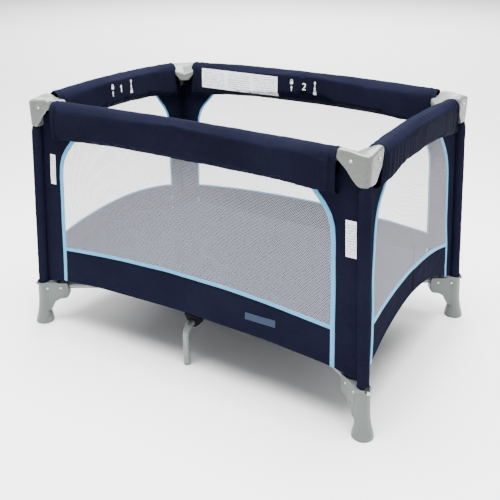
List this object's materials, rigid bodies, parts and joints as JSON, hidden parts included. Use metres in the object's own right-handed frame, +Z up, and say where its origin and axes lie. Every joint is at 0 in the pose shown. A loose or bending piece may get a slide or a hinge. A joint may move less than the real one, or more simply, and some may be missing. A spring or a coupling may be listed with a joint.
{
  "type": "travel play yard",
  "caption": "Folding travel play yard with leaning corner posts, padded folding top rails, mesh sides, padded floor mat, central folding hub and centre legs.",
  "frame": {"origin": "on the floor, at the middle of the play yard, under the hub", "axes": "+Z up, +X along the long sides towards the right end, +Y towards the back side; the front side faces -Y"},
  "size_m": [1.1546, 0.7808, 0.734],
  "materials": {
    "grey_tube": "powder coated, satin",
    "grey_casting": "moulded, satin",
    "grey_inner_plastic": "moulded, fine matte",
    "black_plastic": "moulded, satin",
    "black_webbing": "woven webbing",
    "red_button": "smooth, semi-gloss",
    "navy_padding": "woven polyester over foam",
    "navy_fabric": "woven polyester",
    "navy_mattress": "padded woven polyester",
    "white_mesh": "open warp-knit net",
    "light_blue_binding": "folded woven tape",
    "white_label": "printed satin label",
    "white_print": "screen print",
    "slate_patch": "screen print",
    "navy_piping": "covered piping",
    "dark_rivet": "zinc plated rivet",
    "sewing_thread": "polyester thread"
  },
  "bodies": {
    "post_fl": {"post_tube_fl": "grey_tube", "top_casting_fl": "grey_casting", "foot_casting_fl": "grey_casting", "corner_sleeve_fl": "navy_fabric", "front_panel": "navy_fabric"},
    "post_fr": {"post_tube_fr": "grey_tube", "top_casting_fr": "grey_casting", "foot_casting_fr": "grey_casting", "corner_sleeve_fr": "navy_fabric", "right_panel": "navy_fabric"},
    "post_br": {"post_tube_br": "grey_tube", "top_casting_br": "grey_casting", "foot_casting_br": "grey_casting", "corner_sleeve_br": "navy_fabric", "back_panel": "navy_fabric"},
    "post_bl": {"post_tube_bl": "grey_tube", "top_casting_bl": "grey_casting", "foot_casting_bl": "grey_casting", "corner_sleeve_bl": "navy_fabric", "left_panel": "navy_fabric"},
    "tube_fl": {"floor_tube_fl": "grey_tube"},
    "tube_fr": {"floor_tube_fr": "grey_tube"},
    "tube_br": {"floor_tube_br": "grey_tube"},
    "tube_bl": {"floor_tube_bl": "grey_tube"},
    "hub": {"hub": "grey_inner_plastic", "pull_strap": "black_webbing", "floor_sheet": "navy_fabric", "mattress": "navy_mattress"},
    "front_rail_left": {"front_rail_tube_left": "grey_tube", "front_rail_knuckle_left": "grey_inner_plastic", "front_rail_pad_left": "navy_padding"},
    "front_rail_right": {"front_rail_tube_right": "grey_tube", "front_rail_knuckle_right": "grey_inner_plastic", "front_rail_pad_right": "navy_padding"},
    "front_button": {"front_latch_button": "red_button"},
    "right_rail_front": {"right_rail_tube_front": "grey_tube", "right_rail_knuckle_front": "grey_inner_plastic", "right_rail_pad_front": "navy_padding"},
    "right_rail_back": {"right_rail_tube_back": "grey_tube", "right_rail_knuckle_back": "grey_inner_plastic", "right_rail_pad_back": "navy_padding"},
    "right_button": {"right_latch_button": "red_button"},
    "back_rail_right": {"back_rail_tube_right": "grey_tube", "back_rail_knuckle_right": "grey_inner_plastic", "back_rail_pad_right": "navy_padding"},
    "back_rail_left": {"back_rail_tube_left": "grey_tube", "back_rail_knuckle_left": "grey_inner_plastic", "back_rail_pad_left": "navy_padding"},
    "back_button": {"back_latch_button": "red_button"},
    "left_rail_back": {"left_rail_tube_back": "grey_tube", "left_rail_knuckle_back": "grey_inner_plastic", "left_rail_pad_back": "navy_padding"},
    "left_rail_front": {"left_rail_tube_front": "grey_tube", "left_rail_knuckle_front": "grey_inner_plastic", "left_rail_pad_front": "navy_padding"},
    "left_button": {"left_latch_button": "red_button"},
    "leg_front": {"centre_leg_front": "grey_tube", "leg_bracket_front": "black_plastic"},
    "leg_back": {"centre_leg_back": "grey_tube", "leg_bracket_back": "black_plastic"}
  },
  "joints": [
    {"name": "fold", "type": "hinge", "parent": "post_fl", "child": "tube_fl", "pos_m": [-0.494, -0.32804, 0.125], "axis": [0.544, -0.8391, 0], "range_deg": [0, 77], "deforming": ["front_panel", "right_panel", "back_panel", "left_panel", "floor_sheet", "mattress", "front_rail_pad_left", "front_rail_pad_right", "right_rail_pad_front", "right_rail_pad_back", "back_rail_pad_right", "back_rail_pad_left", "left_rail_pad_back", "left_rail_pad_front"]},
    {"name": "hub_lift", "type": "hinge", "parent": "tube_fl", "child": "hub", "pos_m": [-0.022, -0.02204, 0.125], "axis": [0.544, -0.8391, 0], "range_deg": [-77, 0]},
    {"name": "tube_fr_hub", "type": "hinge", "parent": "hub", "child": "tube_fr", "pos_m": [0.022, -0.02204, 0.125], "axis": [0.544, 0.8391, 0], "range_deg": [0, 77]},
    {"name": "tube_fr_post", "type": "hinge", "parent": "tube_fr", "child": "post_fr", "pos_m": [0.494, -0.32804, 0.125], "axis": [0.544, 0.8391, 0], "range_deg": [-77, 0]},
    {"name": "tube_br_hub", "type": "hinge", "parent": "hub", "child": "tube_br", "pos_m": [0.022, 0.02204, 0.125], "axis": [-0.544, 0.8391, 0], "range_deg": [0, 77]},
    {"name": "tube_br_post", "type": "hinge", "parent": "tube_br", "child": "post_br", "pos_m": [0.494, 0.32804, 0.125], "axis": [-0.544, 0.8391, 0], "range_deg": [-77, 0]},
    {"name": "tube_bl_hub", "type": "hinge", "parent": "hub", "child": "tube_bl", "pos_m": [-0.022, 0.02204, 0.125], "axis": [-0.544, -0.8391, 0], "range_deg": [0, 77]},
    {"name": "tube_bl_post", "type": "hinge", "parent": "tube_bl", "child": "post_bl", "pos_m": [-0.494, 0.32804, 0.125], "axis": [-0.544, -0.8391, 0], "range_deg": [-77, 0]},
    {"name": "front_rail_end", "type": "hinge", "parent": "post_fl", "child": "front_rail_left", "pos_m": [-0.472, -0.332, 0.692], "axis": [0, 1, 0], "range_deg": [0, 77]},
    {"name": "front_rail_middle", "type": "hinge", "parent": "front_rail_left", "child": "front_rail_right", "pos_m": [0, -0.332, 0.692], "axis": [0, 1, 0], "range_deg": [-154, 0]},
    {"name": "front_latch_press", "type": "slide", "parent": "front_rail_left", "child": "front_button", "axis": [0, 0, 1], "range_m": [0, 0.004], "stiffness_N_per_m": 800, "springref_m": -0.001},
    {"name": "right_rail_end", "type": "hinge", "parent": "post_fr", "child": "right_rail_front", "pos_m": [0.493, -0.306, 0.692], "axis": [-1, 0, 0], "range_deg": [0, 77]},
    {"name": "right_rail_middle", "type": "hinge", "parent": "right_rail_front", "child": "right_rail_back", "pos_m": [0.493, 0, 0.692], "axis": [-1, 0, 0], "range_deg": [-154, 0]},
    {"name": "right_latch_press", "type": "slide", "parent": "right_rail_front", "child": "right_button", "axis": [0, 0, 1], "range_m": [0, 0.004], "stiffness_N_per_m": 800, "springref_m": -0.001},
    {"name": "back_rail_end", "type": "hinge", "parent": "post_br", "child": "back_rail_right", "pos_m": [0.472, 0.332, 0.692], "axis": [0, -1, 0], "range_deg": [0, 77]},
    {"name": "back_rail_middle", "type": "hinge", "parent": "back_rail_right", "child": "back_rail_left", "pos_m": [0, 0.332, 0.692], "axis": [0, -1, 0], "range_deg": [-154, 0]},
    {"name": "back_latch_press", "type": "slide", "parent": "back_rail_right", "child": "back_button", "axis": [0, 0, 1], "range_m": [0, 0.004], "stiffness_N_per_m": 800, "springref_m": -0.001},
    {"name": "left_rail_end", "type": "hinge", "parent": "post_bl", "child": "left_rail_back", "pos_m": [-0.493, 0.306, 0.692], "axis": [1, 0, 0], "range_deg": [0, 77]},
    {"name": "left_rail_middle", "type": "hinge", "parent": "left_rail_back", "child": "left_rail_front", "pos_m": [-0.493, 0, 0.692], "axis": [1, 0, 0], "range_deg": [-154, 0]},
    {"name": "left_latch_press", "type": "slide", "parent": "left_rail_back", "child": "left_button", "axis": [0, 0, 1], "range_m": [0, 0.004], "stiffness_N_per_m": 800, "springref_m": -0.001},
    {"name": "leg_front_swing", "type": "hinge", "parent": "hub", "child": "leg_front", "pos_m": [-0.011, -0.055, 0.122], "axis": [1, 0, 0], "range_deg": [0, 90]},
    {"name": "leg_back_swing", "type": "hinge", "parent": "hub", "child": "leg_back", "pos_m": [0.011, 0.055, 0.122], "axis": [-1, 0, 0], "range_deg": [0, 90]}
  ],
  "couplings": [
    {"joint": "hub_lift", "follows": "fold", "ratio": -1},
    {"joint": "tube_fr_hub", "follows": "fold", "ratio": 1},
    {"joint": "tube_fr_post", "follows": "fold", "ratio": -1},
    {"joint": "tube_br_hub", "follows": "fold", "ratio": 1},
    {"joint": "tube_br_post", "follows": "fold", "ratio": -1},
    {"joint": "tube_bl_hub", "follows": "fold", "ratio": 1},
    {"joint": "tube_bl_post", "follows": "fold", "ratio": -1},
    {"joint": "front_rail_end", "follows": "fold", "ratio": 1},
    {"joint": "front_rail_middle", "follows": "fold", "ratio": -2},
    {"joint": "right_rail_end", "follows": "fold", "ratio": 1},
    {"joint": "right_rail_middle", "follows": "fold", "ratio": -2},
    {"joint": "back_rail_end", "follows": "fold", "ratio": 1},
    {"joint": "back_rail_middle", "follows": "fold", "ratio": -2},
    {"joint": "left_rail_end", "follows": "fold", "ratio": 1},
    {"joint": "left_rail_middle", "follows": "fold", "ratio": -2},
    {"joint": "leg_front_swing", "follows": "fold", "ratio": 1.1688},
    {"joint": "leg_back_swing", "follows": "fold", "ratio": 1.1688}
  ]
}
